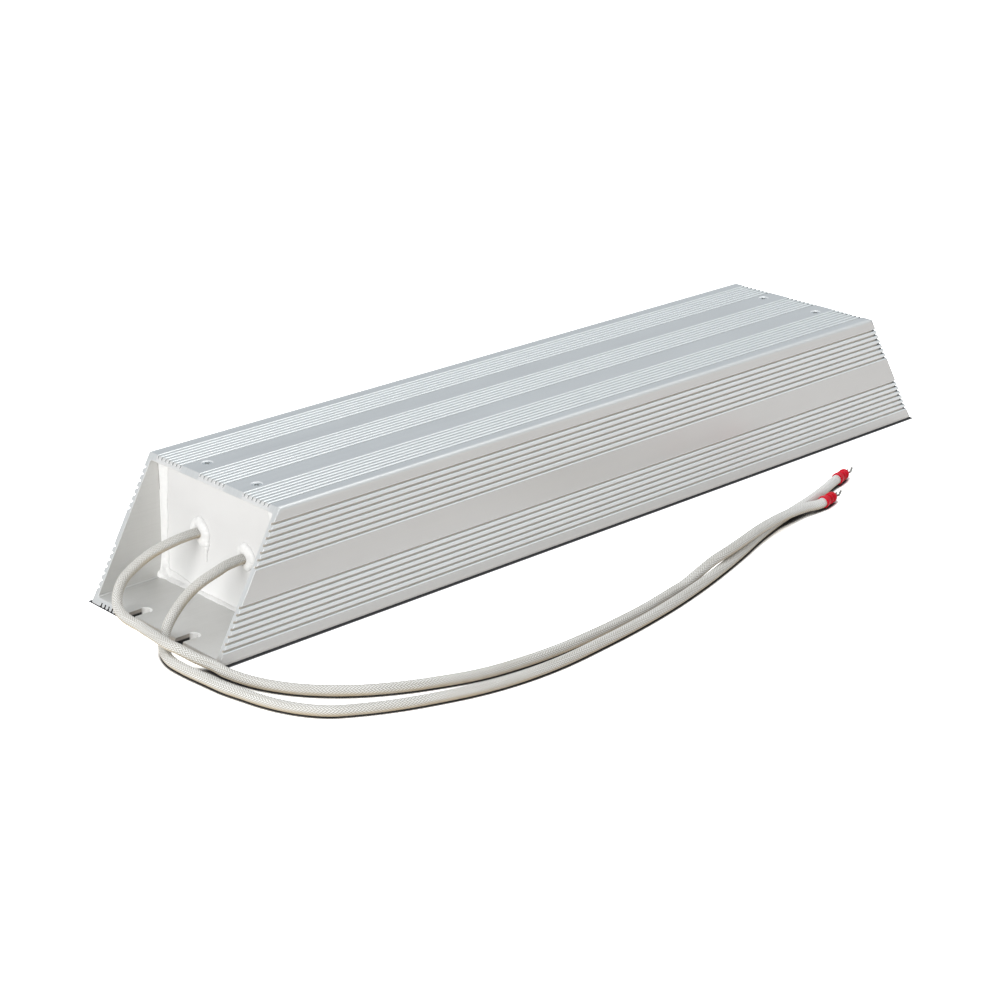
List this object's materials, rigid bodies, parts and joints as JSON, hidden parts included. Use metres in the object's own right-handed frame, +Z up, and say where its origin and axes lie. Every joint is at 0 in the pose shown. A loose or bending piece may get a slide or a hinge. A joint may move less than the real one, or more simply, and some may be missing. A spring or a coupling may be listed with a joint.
{
  "type": "aluminium housed power resistor",
  "caption": "Long finely ribbed aluminium extrusion with mitred ends and screwed end plates, potted round wound ceramic cores, with braided leads and insulated fork terminals.",
  "frame": {"origin": "middle of the housing in X and Y, on the plane of its underside", "axes": "+X along the length from the lead end to the blank end, +Y across the width away from the side that the leads lie beside, +Z up out of the top"},
  "size_m": [0.4909, 0.2039, 0.065],
  "materials": {
    "anodised_aluminium": "satin clear anodised",
    "painted_plate": "satin white paint",
    "plated_screw": "bright zinc plated",
    "silicone_sealant": "smooth white silicone",
    "mica": "flaky matte mica board",
    "ceramic": "unglazed ceramic",
    "resistance_ribbon": "oxidised nickel-chrome ribbon",
    "band_steel": "bright strip",
    "tinned_copper": "bright tinned copper",
    "cement_filler": "gritty set cement",
    "glass_braid": "woven glass-fibre braid",
    "red_vinyl": "glossy vinyl"
  },
  "bodies": {
    "root": {"housing": "anodised_aluminium", "lead_end_plate": "painted_plate", "blank_end_plate": "painted_plate", "end_plate_screws": "plated_screw", "lead_end_seal": "silicone_sealant", "blank_end_seal": "silicone_sealant", "lead_1_seal": "silicone_sealant", "lead_2_seal": "silicone_sealant", "mica_liner": "mica", "lead_end_support": "ceramic", "blank_end_support": "ceramic", "core_1": "ceramic", "core_2": "ceramic", "winding_1": "resistance_ribbon", "winding_2": "resistance_ribbon", "lead_1_band": "band_steel", "lead_2_band": "band_steel", "link_1_band": "band_steel", "link_2_band": "band_steel", "series_link": "band_steel", "lead_1_splice": "tinned_copper", "lead_2_splice": "tinned_copper", "filler": "cement_filler", "lead_1": "glass_braid", "lead_2": "glass_braid", "terminal_1_sleeve": "red_vinyl", "terminal_2_sleeve": "red_vinyl", "terminal_1_fork": "tinned_copper", "terminal_2_fork": "tinned_copper"}
  },
  "joints": []
}
